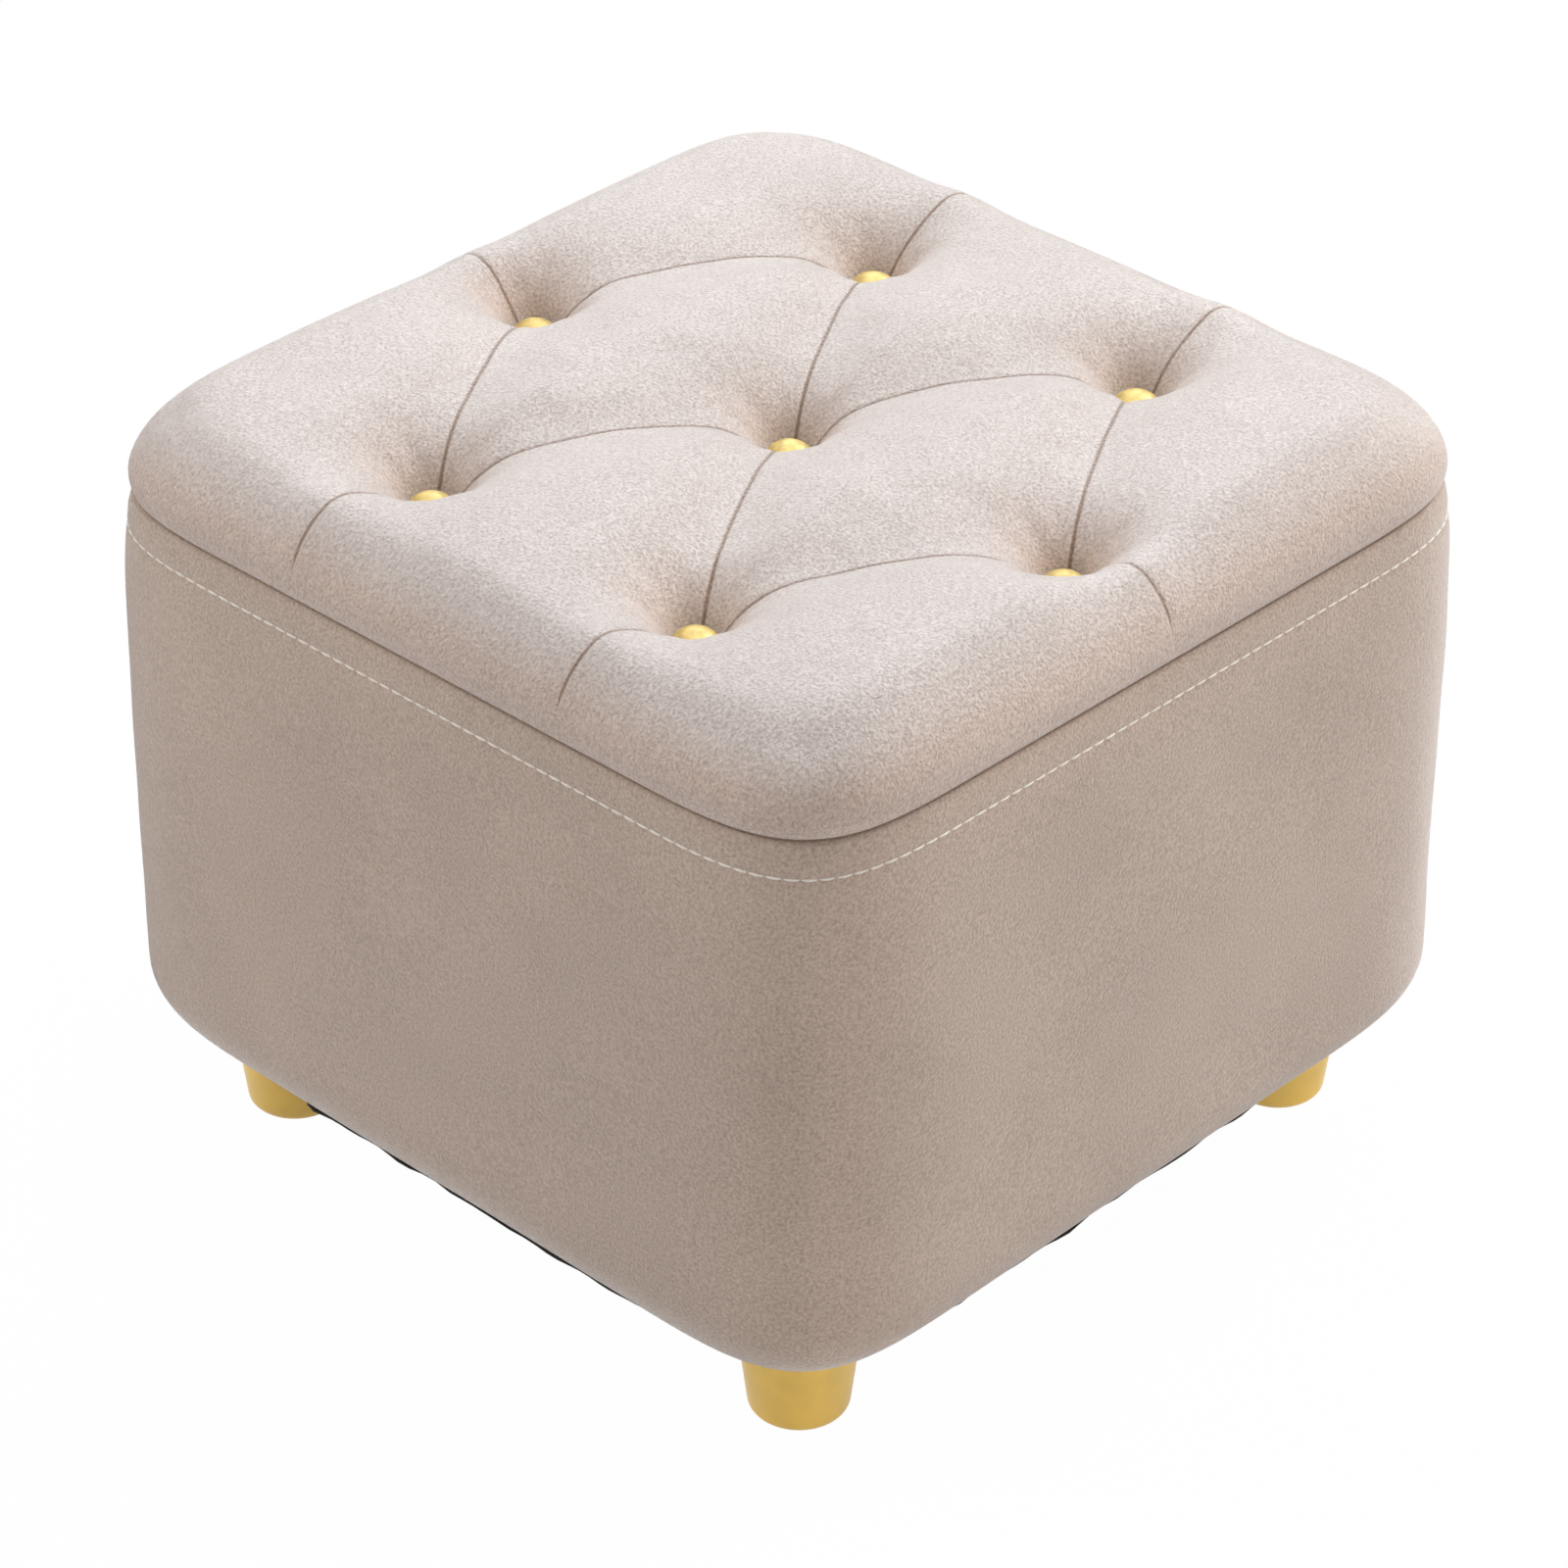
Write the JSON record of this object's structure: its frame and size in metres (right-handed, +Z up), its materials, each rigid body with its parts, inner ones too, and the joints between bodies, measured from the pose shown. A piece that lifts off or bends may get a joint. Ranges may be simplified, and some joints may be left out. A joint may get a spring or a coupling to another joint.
{
  "type": "footstool",
  "caption": "Square low footstool with a diamond-tufted button seat, upholstered sides and tapered round feet.",
  "frame": {"origin": "on the floor under the middle of the stool", "axes": "+Z up, -Y towards the front, +X to the right seen from the front"},
  "size_m": [0.2876, 0.2876, 0.2411],
  "materials": {
    "suede_top": "short-nap suede cloth, pale pinkish beige",
    "suede_side": "short-nap suede cloth, pinkish beige",
    "foam": "open-cell upholstery foam",
    "plywood": "plywood, sanded",
    "particle_board": "particle board",
    "hardboard": "thin bent hardboard",
    "gold_button": "satin gold lacquer",
    "gold_foot": "satin gold lacquer",
    "twine": "waxed tufting twine",
    "zinc_steel": "zinc plated",
    "glide_felt": "dense soft pad",
    "dust_cloth": "black non-woven cloth"
  },
  "bodies": {
    "root": {"seat_cover": "suede_top", "side_cover": "suede_side", "seat_foam": "foam", "side_foam": "foam", "seat_board": "plywood", "base_board": "plywood", "panel_front": "particle_board", "panel_back": "particle_board", "panel_left": "particle_board", "panel_right": "particle_board", "wall_wrap": "hardboard", "button_centre": "gold_button", "button_front": "gold_button", "button_back": "gold_button", "button_front_left": "gold_button", "button_front_right": "gold_button", "button_back_left": "gold_button", "button_back_right": "gold_button", "tufting_twines": "twine", "twine_washers": "zinc_steel", "foot_front_left": "gold_foot", "foot_front_right": "gold_foot", "foot_back_left": "gold_foot", "foot_back_right": "gold_foot", "foot_studs": "zinc_steel", "tee_nuts": "zinc_steel", "glide_pads": "glide_felt", "dust_cover": "dust_cloth", "frame_screws": "zinc_steel"}
  },
  "joints": []
}
